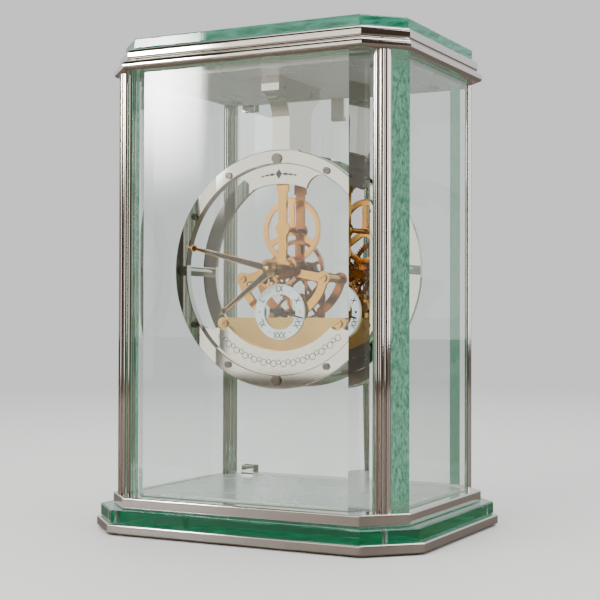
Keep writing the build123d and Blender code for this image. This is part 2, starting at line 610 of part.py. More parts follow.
def toothed(teeth, module, centre, phase):
    """Draw a toothed disc: slim teeth with radial roots and rounded-off tips."""
    pitch = module * teeth / 2
    root, tip = pitch - 1.2 * module, pitch + 0.85 * module
    angle = 2 * pi / teeth
    outline = []
    for tooth in range(teeth):
        middle = radians(phase) + tooth * angle
        flank = ((root, 0.19), (pitch, 0.17), (tip, 0.06))
        for radius, share in [(r, -s) for r, s in flank] + list(reversed(flank)):
            turn = middle + share * angle
            outline.append((centre[0] + radius * cos(turn), centre[1] + radius * sin(turn)))
    Polygon(*outline, align=None)


def wheel(teeth, module, centre, phase, front, thick, spokes=0, hub=2.0, rim=1.6, spoke=2.0):
    """A toothed wheel in the current part, from its front face back, with spokes if asked."""
    inner = module * teeth / 2 - 1.2 * module - rim
    with BuildSketch(face_plane(front + thick)) as disc:
        toothed(teeth, module, centre, phase)
        if spokes:
            with Locations(centre):
                Circle(inner, mode=Mode.SUBTRACT)
                Circle(hub)
                with PolarLocations(0, spokes, start_angle=90):
                    with Locations((inner / 2, 0)):
                        Rectangle(inner + rim / 2, spoke)
    extrude(disc.sketch, amount=thick)


def arbor(centre, front, back, radius):
    """A round shaft in the current part between two depths."""
    with BuildSketch(face_plane(back)) as section:
        with Locations(centre):
            Circle(radius)
    extrude(section.sketch, amount=back - front)


def bore(centre, front, back, radius):
    """A round hole in the current part between two depths."""
    with BuildSketch(face_plane(back)) as section:
        with Locations(centre):
            Circle(radius)
    extrude(section.sketch, amount=back - front, mode=Mode.SUBTRACT)


rear_pivot = REAR_BRIDGE_FRONT + PLATE
third_phase = 4.0
cannon_phase = 0.0
centre_phase = meshed(third_phase, 8, third_axis, 64, centre_axis)
display_phase = meshed(0.0, 20, centre_axis, 80, display_axis)
third_wheel_phase = meshed(0.0, 8, seconds_axis, 60, third_axis)
intermediate_phase = meshed(0.0, 50, seconds_axis, 10, intermediate_axis)
rotor_phase = meshed(0.0, 48, intermediate_axis, 8, rotor_axis)
minute_wheel_phase = meshed(cannon_phase, 12, centre_axis, 36, minute_axis)
hour_phase = meshed(0.0, 10, minute_axis, 40, centre_axis)

# ---------------------------------------------------------------- movement plates
with BuildPart() as bottom_plate:
    with BuildSketch(face_plane(DIAL_PLATE_BACK + PLATE)) as fan:
        Circle(BOTTOM_PLATE_RADIUS)
        with Locations((0, BOTTOM_PLATE_TOP)):
            Rectangle(3 * BOTTOM_PLATE_RADIUS, 3 * BOTTOM_PLATE_RADIUS, mode=Mode.SUBTRACT,
                      align=(Align.CENTER, Align.MIN))
        fillet(fan.vertices(), radius=LUG_RADIUS * 0.8)
        with Locations(seconds_axis):
            Circle(PIVOT_RADIUS + 1.6)
            Rectangle(2 * PIVOT_RADIUS + 2.4, SECONDS_DROP / 2, align=(Align.CENTER, Align.MAX))
        with Locations(*FAN_SCREWS):
            Circle(LARGE_SHANK, mode=Mode.SUBTRACT)
        with Locations(seconds_axis):
            Circle(PIVOT_RADIUS + SLIP, mode=Mode.SUBTRACT)
    extrude(amount=PLATE)
    for axis in (intermediate_axis, rotor_axis):
        bore(axis, DIAL_PLATE_BACK + PLATE / 2, DIAL_PLATE_BACK + PLATE, PIVOT_RADIUS + SLIP)
save(bottom_plate, "bottom_plate")


def bridge_outline(hub):
    """Draw a movement bridge: bar up to the hanger, hub, two arms and two curved legs."""
    Circle(hub)
    neck = display_axis[1] + BAR_NECK
    Rectangle(BAR_WIDTH, neck + BAR_WIDTH / 2, align=(Align.CENTER, Align.MIN))
    with Locations((0, neck)):
        Rectangle(BAR_HEAD_WIDTH, BAR_TOP - neck, align=(Align.CENTER, Align.MIN))
    with Locations(display_axis):
        Circle(BAR_BOSS)
    for side in (-1, 1):
        lug = (side * LUG[0], LUG[1])
        with Locations(lug):
            Circle(LUG_RADIUS)
        SlotCenterPoint((lug[0] / 2, lug[1] / 2), lug, ARM_WIDTH)
        start = degrees(atan2(lug[0], lug[1]))
        with BuildLine() as leg:
            CenterArc((0, 0), RING_ARM_RADIUS, 90 - start, -side * (LEG_ANGLE - abs(start)))
        SlotArc(leg.wire(), ARM_WIDTH)
        with Locations(clock_point(RING_ARM_RADIUS, side * LEG_ANGLE)):
            Rectangle(ARM_WIDTH, 2 * LUG_RADIUS, align=(Align.CENTER, Align.MAX))
    with Locations(third_axis):
        Circle(PIVOT_BOSS)
    outward = clock_point(RING_ARM_RADIUS, degrees(atan2(*third_axis)))
    SlotCenterPoint(((outward[0] + third_axis[0]) / 2, (outward[1] + third_axis[1]) / 2), outward, 3.4)


with BuildPart() as front_bridge:
    with BuildSketch(face_plane(bridge_back)):
        bridge_outline(BRIDGE_HUB)
        Circle(TUBE_FOOT, mode=Mode.SUBTRACT)
        with Locations(display_axis, third_axis):
            Circle(PIVOT_RADIUS + SLIP, mode=Mode.SUBTRACT)
        with Locations(*LUGS):
            Circle(LARGE_SHANK, mode=Mode.SUBTRACT)
    extrude(amount=PLATE)
    arbor(minute_axis, bridge_back, minute_wheel_front + 2.1, PIVOT_RADIUS)
save(front_bridge, "front_bridge")

with BuildPart() as rear_bridge:
    with BuildSketch(face_plane(rear_pivot)):
        Circle(BOTTOM_PLATE_RADIUS)
        with Locations((0, BOTTOM_PLATE_TOP)):
            Rectangle(3 * BOTTOM_PLATE_RADIUS, 3 * BOTTOM_PLATE_RADIUS, mode=Mode.SUBTRACT,
                      align=(Align.CENTER, Align.MIN))
        bridge_outline(BRIDGE_HUB)
        with Locations(seconds_axis):
            Circle(PIVOT_BOSS)
            Rectangle(2 * PIVOT_RADIUS + 3, SECONDS_DROP / 2, align=(Align.CENTER, Align.MAX))
        Circle(MINUTE_ARBOR + SLIP, mode=Mode.SUBTRACT)
        with Locations(display_axis, third_axis, seconds_axis, intermediate_axis, rotor_axis):
            Circle(PIVOT_RADIUS + SLIP, mode=Mode.SUBTRACT)
        with Locations(*LUGS, *FAN_SCREWS):
            Circle(LARGE_SHANK, mode=Mode.SUBTRACT)
    extrude(amount=PLATE)
save(rear_bridge, "rear_bridge")

with BuildPart() as movement_pillars:
    for places, front in ((LUGS, bridge_back), (FAN_SCREWS, DIAL_PLATE_BACK + PLATE)):
        with BuildSketch(face_plane(REAR_BRIDGE_FRONT)):
            with Locations(*places):
                Circle(MOVEMENT_PILLAR_RADIUS)
        extrude(amount=REAR_BRIDGE_FRONT - front)
        for x, y in places:
            bore((x, y), front, front + 2 * BITE, LARGE_SHANK)
            bore((x, y), REAR_BRIDGE_FRONT - 2 * BITE, REAR_BRIDGE_FRONT, LARGE_SHANK)
save(movement_pillars, "movement_pillars")

with BuildPart() as bridge_screws:
    screws(LUGS, DIAL_PLATE_BACK + PLATE, BRIDGE_HEAD, LARGE_SHANK, bridge_back + 2 * BITE)
    screws(FAN_SCREWS, DIAL_PLATE_BACK, BRIDGE_HEAD, LARGE_SHANK, DIAL_PLATE_BACK + PLATE + 2 * BITE)
    screws(LUGS + FAN_SCREWS, rear_pivot, BRIDGE_HEAD, LARGE_SHANK, REAR_BRIDGE_FRONT - 2 * BITE, toward=-1)
save(bridge_screws, "bridge_screws")

# ---------------------------------------------------------------- seconds dial and its train
with BuildPart() as seconds_dial:
    with BuildSketch(face_plane(DIAL_PLATE_BACK)):
        with Locations(seconds_axis):
            Circle(SECONDS_OUTER)
            Circle(SECONDS_INNER, mode=Mode.SUBTRACT)
    extrude(amount=SECONDS_DIAL_THICK)
save(seconds_dial, "seconds_dial")

with BuildPart() as seconds_wheel:
    wheel(50, SECONDS_M, seconds_axis, 0.0, -8.0, 1.0, spokes=4, hub=2.2, rim=1.2, spoke=1.4)
    wheel(8, THIRD_M, seconds_axis, 0.0, -12.4, 1.8)
    arbor(seconds_axis, SECONDS_HAND_BACK, rear_pivot, PIVOT_RADIUS)
save(seconds_wheel, "seconds_wheel")

with BuildPart() as seconds_hand:
    with BuildSketch(face_plane(SECONDS_HAND_BACK)):
        with Locations(seconds_axis):
            Circle(SECONDS_HUB)
        tip = clock_point(SECONDS_LENGTH, SECONDS_ANGLE, seconds_axis)
        tail = clock_point(SECONDS_TAIL, SECONDS_ANGLE + 180, seconds_axis)
        half_widths = ((tip, SECONDS_TIP_HALF), (seconds_axis, SECONDS_MIDDLE_HALF), (tail, SECONDS_TAIL_HALF))
        one_side = [clock_point(half, SECONDS_ANGLE - 90, place) for place, half in half_widths]
        other_side = [clock_point(half, SECONDS_ANGLE + 90, place) for place, half in half_widths]
        Polygon(*one_side, *reversed(other_side), align=None)
    extrude(amount=HAND_THICK)
    bore(seconds_axis, SECONDS_HAND_BACK - HAND_THICK / 2, SECONDS_HAND_BACK, PIVOT_RADIUS)
save(seconds_hand, "seconds_hand")

with BuildPart() as third_wheel:
    wheel(60, THIRD_M, third_axis, third_wheel_phase, -12.0, 1.0, spokes=5, hub=2.2, rim=1.4, spoke=1.4)
    wheel(8, CENTRE_M, third_axis, third_phase, -0.4, 2.3)
    arbor(third_axis, DIAL_PLATE_BACK + PLATE, rear_pivot, PIVOT_RADIUS)
save(third_wheel, "third_wheel")

with BuildPart() as centre_wheel:
    wheel(64, CENTRE_M, centre_axis, centre_phase, 0.0, 1.5, spokes=5, hub=3.0, rim=1.7, spoke=2.0)
    wheel(20, DISPLAY_M, centre_axis, 0.0, -7.2, 2.4)
    arbor(centre_axis, -7.2, 3.5, 2.4)
    bore(centre_axis, -7.2, 3.5, MINUTE_ARBOR + SLIP)
save(centre_wheel, "centre_wheel")

with BuildPart() as display_wheel:
    wheel(80, DISPLAY_M, display_axis, display_phase, -6.8, 1.4, spokes=3, hub=3.4, rim=2.6, spoke=3.6)
    arbor(display_axis, DIAL_PLATE_BACK + PLATE, rear_pivot, PIVOT_RADIUS)
    arbor(display_axis, -15.5, REAR_BRIDGE_FRONT - 0.5, 1.6)
save(display_wheel, "display_wheel")

with BuildPart() as intermediate_wheel:
    wheel(48, ROTOR_M, intermediate_axis, 0.0, -4.0, 1.0)
    wheel(10, SECONDS_M, intermediate_axis, intermediate_phase, -8.4, 1.8)
    arbor(intermediate_axis, DIAL_PLATE_BACK + PLATE / 2 + PIVOT_STEP, rear_pivot, PIVOT_RADIUS)
save(intermediate_wheel, "intermediate_wheel")

ROTOR_RADIUS = 3.0
ROTOR_GAP = 0.4
with BuildPart() as rotor:
    wheel(8, ROTOR_M, rotor_axis, rotor_phase, -4.4, 1.8)
    arbor(rotor_axis, -13.0, -10.8, ROTOR_RADIUS)
    arbor(rotor_axis, DIAL_PLATE_BACK + PLATE / 2 + PIVOT_STEP, rear_pivot, PIVOT_RADIUS)
save(rotor, "rotor")

# ---------------------------------------------------------------- motion work
with BuildPart() as centre_tube:
    arbor(centre_axis, CENTRE_TUBE_FRONT, DIAL_PLATE_BACK + PLATE, CENTRE_TUBE_RADIUS)
    arbor(centre_axis, DIAL_PLATE_BACK + PLATE, bridge_back, TUBE_FOOT)
    bore(centre_axis, CENTRE_TUBE_FRONT, bridge_back, HOUR_PIPE + SLIP)
save(centre_tube, "centre_tube")

with BuildPart() as hour_wheel:
    wheel(40, HOUR_M, centre_axis, hour_phase, hour_wheel_front, 1.0, spokes=4, hub=3.4, rim=1.3, spoke=1.6)
    arbor(centre_axis, HOUR_HAND_BACK - HAND_THICK - 0.4, hour_wheel_front + 1.0, HOUR_PIPE)
    bore(centre_axis, HOUR_HAND_BACK - HAND_THICK - 0.4, hour_wheel_front + 1.0, MINUTE_ARBOR + SLIP)
save(hour_wheel, "hour_wheel")

with BuildPart() as minute_wheel:
    wheel(36, CANNON_M, minute_axis, minute_wheel_phase, minute_wheel_front, 1.0, spokes=4, hub=2.4, rim=1.2,
          spoke=1.4)
    wheel(10, HOUR_M, minute_axis, 0.0, hour_wheel_front - 0.1, 1.3)
    arbor(minute_axis, hour_wheel_front, minute_wheel_front + 2.0, 1.5)
    bore(minute_axis, hour_wheel_front - 0.2, minute_wheel_front + 2.0, PIVOT_RADIUS + SLIP)
save(minute_wheel, "minute_wheel")

arbor_front = MINUTE_HAND_BACK - HAND_THICK
SETTING_RADIUS, SETTING_HEIGHT = 6.0, 6.0
SETTING_COVER = 1.0
setting_front = rear_ring_back + 2.0
setting_back = setting_front + SETTING_HEIGHT
with BuildPart() as minute_arbor:
    arbor(centre_axis, arbor_front, setting_back - SETTING_COVER, MINUTE_ARBOR)
    wheel(12, CANNON_M, centre_axis, cannon_phase, minute_wheel_front - 0.3, 1.8)
save(minute_arbor, "minute_arbor")

with BuildPart() as setting_knob:
    arbor(centre_axis, setting_front, setting_back, SETTING_RADIUS)
    bore(centre_axis, setting_front, setting_back - SETTING_COVER, MINUTE_ARBOR)
    with BuildSketch(face_plane(setting_back)):
        with PolarLocations(SETTING_RADIUS, 24):
            Circle(0.35)
    extrude(amount=SETTING_HEIGHT, mode=Mode.SUBTRACT)
save(setting_knob, "setting_knob")


# ---------------------------------------------------------------- hands
def hand_outline(angle, dot, width, inset):
    """Draw a baton hand that narrows to a round dot, shrunk all round by an inset."""
    near, end = width / 2 - inset, HAND_END_WIDTH / 2 - inset
    eye = clock_point(dot, angle)
    Polygon(clock_point(near, angle - 90), clock_point(end, angle - 90, eye),
            clock_point(end, angle + 90, eye), clock_point(near, angle + 90), align=None)
    with Locations(eye):
        Circle(HAND_END_WIDTH - inset)


def hand(angle, tip_radius, dot, width, back, hub, bore_radius):
    """A hand with its pointed tip, its hub and a shallow recess for the dark inlay."""
    front = back - HAND_THICK
    with BuildPart() as blade:
        with BuildSketch(face_plane(back)):
            hand_outline(angle, dot, width, 0)
            eye = clock_point(dot, angle)
            Polygon(clock_point(HAND_POINT / 2, angle - 90, eye), clock_point(tip_radius, angle),
                    clock_point(HAND_POINT / 2, angle + 90, eye), align=None)
            Circle(hub)
        extrude(amount=HAND_THICK)
        with BuildSketch(face_plane(front)):
            hand_outline(angle, dot, width, INLAY_MARGIN)
            Circle(hub - INLAY_TUCK, mode=Mode.SUBTRACT)
        extrude(amount=-INLAY_DEPTH, mode=Mode.SUBTRACT)
        bore((0, 0), front, back, bore_radius)
    return blade


def inlay(angle, dot, width, back, hub):
    """The dark enamel that fills a hand's recess, level with its face."""
    with BuildPart() as filling:
        with BuildSketch(face_plane(back - HAND_THICK + INLAY_DEPTH)):
            hand_outline(angle, dot, width, INLAY_MARGIN)
            Circle(hub - INLAY_TUCK, mode=Mode.SUBTRACT)
        extrude(amount=INLAY_DEPTH)
    return filling


hour_hand = hand(HOUR_ANGLE, HOUR_TIP, HOUR_DOT, HOUR_WIDTH, HOUR_HAND_BACK, HAND_HUB, HOUR_PIPE)
save(hour_hand, "hour_hand")
hour_hand_inlay = inlay(HOUR_ANGLE, HOUR_DOT, HOUR_WIDTH, HOUR_HAND_BACK, HAND_HUB)
save(hour_hand_inlay, "hour_hand_inlay")
minute_hand = hand(MINUTE_ANGLE, MINUTE_TIP, MINUTE_DOT, MINUTE_WIDTH, MINUTE_HAND_BACK, HAND_HUB,
                   MINUTE_ARBOR)
save(minute_hand, "minute_hand")
minute_hand_inlay = inlay(MINUTE_ANGLE, MINUTE_DOT, MINUTE_WIDTH, MINUTE_HAND_BACK, HAND_HUB)
save(minute_hand_inlay, "minute_hand_inlay")

with BuildPart() as hand_boss:
    arbor(centre_axis, arbor_front - BOSS_HEIGHT, arbor_front, BOSS_RADIUS)
    fillet(hand_boss.edges().sort_by(Axis.Y)[0], radius=BOSS_HEIGHT - BOSS_LIP)
save(hand_boss, "hand_boss")

# ---------------------------------------------------------------- drive electronics
CORE_HEIGHT, CORE_THICK = 3.0, 1.0
core_z = rotor_axis[1] - 2.0
stator_back = -11.4
with BuildPart() as stator:
    with BuildSketch(face_plane(stator_back)):
        with Locations(rotor_axis):
            Circle(6.0)
        with Locations((rotor_axis[0], core_z)):
            Rectangle(36, CORE_HEIGHT, align=(Align.MIN, Align.CENTER))
        with Locations(rotor_axis):
            Circle(ROTOR_RADIUS + ROTOR_GAP, mode=Mode.SUBTRACT)
    extrude(amount=CORE_THICK)
save(stator, "stator")

with BuildPart() as drive_coil:
    with BuildSketch(Plane.YZ.offset(rotor_axis[0] + 9)):
        with Locations((stator_back - CORE_THICK / 2, axis_z + core_z)):
            Rectangle(5.6, 7.6)
            Rectangle(CORE_THICK + 0.1, CORE_HEIGHT + 0.1, mode=Mode.SUBTRACT)
    extrude(amount=22)
    fillet(drive_coil.edges().filter_by(Axis.X).group_by(SortBy.DISTANCE)[-1], radius=1.2)
save(drive_coil, "drive_coil")

BOARD_FRONT = 1.6
board_centre = (14.0, core_z)
with BuildPart() as circuit_board:
    with BuildSketch(face_plane(BOARD_FRONT + 1.0)):
        with Locations(board_centre):
            Rectangle(38, 9)
    extrude(amount=1.0)
    with BuildSketch(face_plane(BOARD_FRONT)):
        with Locations((board_centre[0] - 4, board_centre[1])):
            Rectangle(6, 6)
    extrude(amount=1.2)
    with BuildSketch(Plane.YZ.offset(board_centre[0] + 4)):
        with Locations((BOARD_FRONT - 1.0, axis_z + board_centre[1])):
            Circle(1.0)
    extrude(amount=6.0)
save(circuit_board, "circuit_board")

cell_z = axis_z - CELL_DROP
HOLDER_WALL = 1.1
HOLDER_FIT = 0.15
holder_inner = CELL_RADIUS + HOLDER_FIT
CONTACT = 0.4
with BuildPart() as battery_holder:
    holder_half = CELL_LENGTH / 2 + HOLDER_FIT + CONTACT
    with BuildSketch(Plane.YZ.offset(-holder_half - HOLDER_WALL)):
        with Locations((CELL_BACK, cell_z)):
            Circle(holder_inner + HOLDER_WALL)
            Rectangle(40, 20, align=(Align.CENTER, Align.MIN), mode=Mode.SUBTRACT)
            Rectangle(REAR_BRIDGE_FRONT - CELL_BACK, 5, align=(Align.MIN, Align.MAX))
    extrude(amount=2 * (holder_half + HOLDER_WALL))
    with BuildSketch(Plane.YZ.offset(-holder_half)):
        with Locations((CELL_BACK, cell_z)):
            Circle(holder_inner)
    extrude(amount=2 * holder_half, mode=Mode.SUBTRACT)
save(battery_holder, "battery_holder")

with BuildPart() as battery_cell:
    with BuildSketch(Plane.YZ.offset(-CELL_LENGTH / 2)):
        with Locations((CELL_BACK, cell_z)):
            Circle(CELL_RADIUS)
    extrude(amount=CELL_LENGTH - 1.2)
    fillet(battery_cell.edges().filter_by(GeomType.CIRCLE), radius=0.5)
    with BuildSketch(Plane.YZ.offset(CELL_LENGTH / 2 - 1.2)):
        with Locations((CELL_BACK, cell_z)):
            Circle(2.75)
    extrude(amount=1.2)
save(battery_cell, "battery_cell")

with BuildPart() as battery_contacts:
    for side in (-1, 1):
        with BuildSketch(Plane.YZ.offset(side * (CELL_LENGTH / 2 + HOLDER_FIT / 2))):
            with Locations((CELL_BACK, cell_z - 1.5)):
                Rectangle(7, 9)
        extrude(amount=side * CONTACT)
save(battery_contacts, "battery_contacts")
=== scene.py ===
# %% [markdown]
# # A glass-cased skeleton clock
#
# The clock is a chrome and glass case round a hanging dial and a gilt train of wheels. Its
# pieces are loaded ready made, at their true size, so this lesson is about finishes, print
# and light.

# %% Load the clock
from math import cos, pi, radians, sin

import bpy
from mathutils import Matrix, Vector


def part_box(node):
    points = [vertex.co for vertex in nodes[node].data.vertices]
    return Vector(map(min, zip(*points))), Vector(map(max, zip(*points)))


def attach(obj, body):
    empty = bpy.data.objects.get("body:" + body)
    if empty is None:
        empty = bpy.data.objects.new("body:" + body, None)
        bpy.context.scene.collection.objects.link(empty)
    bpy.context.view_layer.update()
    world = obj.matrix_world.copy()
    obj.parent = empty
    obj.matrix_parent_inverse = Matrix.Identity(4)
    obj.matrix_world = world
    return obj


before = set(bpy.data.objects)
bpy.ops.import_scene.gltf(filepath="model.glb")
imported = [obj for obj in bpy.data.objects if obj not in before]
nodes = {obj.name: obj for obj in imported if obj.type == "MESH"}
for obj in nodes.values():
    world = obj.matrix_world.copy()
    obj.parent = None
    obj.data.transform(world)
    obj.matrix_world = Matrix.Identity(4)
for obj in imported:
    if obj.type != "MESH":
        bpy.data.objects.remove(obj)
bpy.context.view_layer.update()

MM = 0.001

# %% [markdown]
# The camera stands to the right of the dial, a little above its middle. A long lens keeps
# the upright edges nearly parallel, as a person sees a clock from across a room.

# %% Camera
bpy.ops.object.select_all(action="DESELECT")
CAMERA_PLACE = (0.3885, -0.7491, 0.1303)
CAMERA_TURN = (radians(90.77), radians(-0.15), radians(27.36))
bpy.ops.object.camera_add(location=CAMERA_PLACE, rotation=CAMERA_TURN)
camera = bpy.context.object
camera.data.lens = 80.5
camera.data.sensor_width = 36.0
camera.data.clip_start, camera.data.clip_end = 0.01, 50.0
bpy.context.scene.camera = camera

# %% [markdown]
# Everything that lights the clock: a pale floor that runs to the horizon, large soft lamps,
# and a world that is pale behind the clock. Polished metal has no colour of its own, only
# what it mirrors, so mirrored rays see a darker, warmer room: that gives the dark bands
# between the bright ones.

# %% Floor and world
bpy.ops.mesh.primitive_plane_add(size=14.0, location=(0, 0, 0))
floor = bpy.context.object
floor.name = "studio_floor"
floor_finish = bpy.data.materials.new("studio_floor")
floor_finish.use_nodes = True
floor_shader = floor_finish.node_tree.nodes["Principled BSDF"]
floor_shader.inputs["Roughness"].default_value = 0.55
floor.data.materials.append(floor_finish)

world = bpy.data.worlds.new("studio")
bpy.context.scene.world = world
world.use_nodes = True
sky = world.node_tree
sky.nodes.clear()
SEEN = (0.90, 0.90, 0.895, 1)
FILL = (0.86, 0.86, 0.86, 1)
ROOM = (0.055, 0.038, 0.030, 1)
WALL = (0.86, 0.86, 0.855, 1)


def world_mix(factor, first, second):
    """Blend two colours, or two earlier blends, in the world."""
    made = sky.nodes.new("ShaderNodeMix")
    made.data_type = "RGBA"
    for socket, source in (("A", first), ("B", second)):
        if isinstance(source, tuple):
            made.inputs[socket].default_value = source
        else:
            sky.links.new(source.outputs["Result"], made.inputs[socket])
    sky.links.new(factor, made.inputs["Factor"])
    return made


rays = sky.nodes.new("ShaderNodeLightPath")
way = sky.nodes.new("ShaderNodeTexCoord")
apart = sky.nodes.new("ShaderNodeSeparateXYZ")
behind = sky.nodes.new("ShaderNodeMapRange")
behind.interpolation_type = "SMOOTHSTEP"
behind.inputs["From Min"].default_value = -0.10
behind.inputs["From Max"].default_value = 0.30
once_mirrored = sky.nodes.new("ShaderNodeMath")
once_mirrored.operation = "GREATER_THAN"
once_mirrored.inputs[1].default_value = 0.5
background = sky.nodes.new("ShaderNodeBackground")
sky_out = sky.nodes.new("ShaderNodeOutputWorld")
sky.links.new(way.outputs["Generated"], apart.inputs["Vector"])
sky.links.new(apart.outputs["Y"], behind.inputs["Value"])
sky.links.new(rays.outputs["Glossy Depth"], once_mirrored.inputs[0])
room = world_mix(behind.outputs["Result"], ROOM, WALL)
lighting = world_mix(rays.outputs["Is Diffuse Ray"], SEEN, FILL)
everything = world_mix(once_mirrored.outputs["Value"], lighting, room)
sky.links.new(everything.outputs["Result"], background.inputs["Color"])
sky.links.new(background.outputs["Background"], sky_out.inputs["Surface"])

# %% [markdown]
# In the mirror of the chrome the floor is a warm table top instead of a pale one.

# %% Mirrored floor
PALE_FLOOR = (0.80, 0.795, 0.785, 1)
WARM_TABLE = (0.11, 0.08, 0.06, 1)
floor_tree = floor_finish.node_tree
floor_rays = floor_tree.nodes.new("ShaderNodeLightPath")
floor_mix = floor_tree.nodes.new("ShaderNodeMix")
floor_mix.data_type = "RGBA"
floor_mix.inputs["A"].default_value = PALE_FLOOR
floor_mix.inputs["B"].default_value = WARM_TABLE
floor_tree.links.new(floor_rays.outputs["Glossy Depth"], floor_mix.inputs["Factor"])
floor_tree.links.new(floor_mix.outputs["Result"], floor_shader.inputs["Base Color"])

# %% [markdown]
# A horizon line would cut across the clear glass. The floor therefore turns into the colour
# of the background with distance from the clock, as a curved paper backdrop does.

# %% Seamless backdrop
FADE_NEAR, FADE_FAR = 0.45, 1.9
from_clock = floor_tree.nodes.new("ShaderNodeTexCoord")
distance = floor_tree.nodes.new("ShaderNodeVectorMath")
distance.operation = "LENGTH"
fade_out = floor_tree.nodes.new("ShaderNodeMapRange")
fade_out.interpolation_type = "SMOOTHSTEP"
fade_out.inputs["From Min"].default_value = FADE_NEAR
fade_out.inputs["From Max"].default_value = FADE_FAR
seen_only = floor_tree.nodes.new("ShaderNodeMath")
seen_only.operation = "SUBTRACT"
seen_only.use_clamp = True
paper = floor_tree.nodes.new("ShaderNodeEmission")
paper.inputs["Color"].default_value = SEEN
blend = floor_tree.nodes.new("ShaderNodeMixShader")
floor_tree.links.new(from_clock.outputs["Object"], distance.inputs[0])
floor_tree.links.new(distance.outputs["Value"], fade_out.inputs["Value"])
floor_tree.links.new(fade_out.outputs["Result"], seen_only.inputs[0])
floor_tree.links.new(floor_rays.outputs["Glossy Depth"], seen_only.inputs[1])
floor_tree.links.new(seen_only.outputs["Value"], blend.inputs["Fac"])
floor_tree.links.new(floor_shader.outputs["BSDF"], blend.inputs[1])
floor_tree.links.new(paper.outputs["Emission"], blend.inputs[2])
floor_tree.links.new(blend.outputs["Shader"], floor_tree.nodes["Material Output"].inputs["Surface"])


# %% [markdown]
# A soft lamp is aimed by turning its -Z axis towards a point on the clock. The lamps behind
# and in front light the clock without showing in anything that mirrors.

# %% Soft lamps
def lamp(name, place, aim, width, height, watts, colour=(1, 1, 1)):
    """A rectangular soft lamp, aimed at a point."""
    bpy.ops.object.light_add(type="AREA", location=place)
    made = bpy.context.object
    made.name = name
    made.rotation_euler = (Vector(aim) - Vector(place)).to_track_quat("-Z", "Y").to_euler()
    made.data.shape = "RECTANGLE"
    made.data.size, made.data.size_y = width, height
    made.data.energy = watts
    made.data.color = colour
    made.visible_transmission = False
    return made


CLOCK_MIDDLE = (0, 0, 0.15)
lamp("ceiling_lamp", (0.1, -0.1, 1.7), CLOCK_MIDDLE, 1.6, 1.2, 16)
lamp("right_lamp", (1.7, -0.35, 0.7), CLOCK_MIDDLE, 0.5, 1.3, 12, (1.0, 0.985, 0.95))
back_lamp = lamp("back_lamp", (-0.6, 1.9, 0.9), CLOCK_MIDDLE, 1.8, 1.0, 12)
front_lamp = lamp("front_lamp", (-0.35, -1.5, 0.75), CLOCK_MIDDLE, 0.9, 0.7, 22, (1.0, 0.98, 0.95))
for unseen in (back_lamp, front_lamp):
    unseen.visible_glossy = False

# %% [markdown]
# The dial mirrors what stands in front of it, to the left. A tall pale screen there fills
# most of the dial with cream light and leaves its left side dark, and a smaller, brighter
# screen shows only as a soft glare in the upper left of the front glass. The camera doesn't
# see either of them directly.

# %% Light screens
def screen(name, left, right, bottom, top, y, colour, strength, softness):
    """An upright glowing screen with soft edges, facing the clock."""
    bpy.ops.object.select_all(action="DESELECT")
    bpy.ops.mesh.primitive_plane_add(size=1.0, rotation=(radians(90), 0, radians(180)))
    made = bpy.context.object
    made.name = name
    made.location = ((left + right) / 2, y, (bottom + top) / 2)
    made.scale = (right - left, top - bottom, 1.0)
    glow = bpy.data.materials.new(name)
    glow.use_nodes = True
    tree = glow.node_tree
    tree.nodes.clear()
    place = tree.nodes.new("ShaderNodeTexCoord")
    apart = tree.nodes.new("ShaderNodeSeparateXYZ")
    tree.links.new(place.outputs["Object"], apart.inputs["Vector"])
    fades = []
    for axis in "XY":
        size = tree.nodes.new("ShaderNodeMath")
        size.operation = "ABSOLUTE"
        fade = tree.nodes.new("ShaderNodeMapRange")
        fade.interpolation_type = "SMOOTHSTEP"
        fade.inputs["From Min"].default_value = 0.5
        fade.inputs["From Max"].default_value = 0.5 - softness
        tree.links.new(apart.outputs[axis], size.inputs[0])
        tree.links.new(size.outputs["Value"], fade.inputs["Value"])
        fades.append(fade)
    both = tree.nodes.new("ShaderNodeMath")
    both.operation = "MULTIPLY"
    shine = tree.nodes.new("ShaderNodeEmission")
    shine.inputs["Color"].default_value = (*colour, 1)
    level = tree.nodes.new("ShaderNodeMath")
    level.operation = "MULTIPLY"
    level.inputs[1].default_value = strength
    clear = tree.nodes.new("ShaderNodeBsdfTransparent")
    mix = tree.nodes.new("ShaderNodeMixShader")
    out = tree.nodes.new("ShaderNodeOutputMaterial")
    tree.links.new(fades[0].outputs["Result"], both.inputs[0])
    tree.links.new(fades[1].outputs["Result"], both.inputs[1])
    tree.links.new(both.outputs["Value"], level.inputs[0])
    tree.links.new(level.outputs["Value"], shine.inputs["Strength"])
    tree.links.new(both.outputs["Value"], mix.inputs["Fac"])
    tree.links.new(clear.outputs["BSDF"], mix.inputs[1])
    tree.links.new(shine.outputs["Emission"], mix.inputs[2])
    tree.links.new(mix.outputs["Shader"], out.inputs["Surface"])
    made.data.materials.append(glow)
    made.visible_camera = False


screen("cream_screen", -0.98, -0.10, 0.0, 1.10, -1.60, (1.0, 0.93, 0.83), 1.7, 0.03)
screen("glare_screen", -1.32, -0.84, 0.30, 0.92, -1.62, (1.0, 0.99, 0.97), 120.0, 0.5)

# %% [markdown]
# Handled metal is never perfectly even. One shared group gives a slow smudge, which the
# finishes add to their roughness, and a fine scratch height for a very small bump.

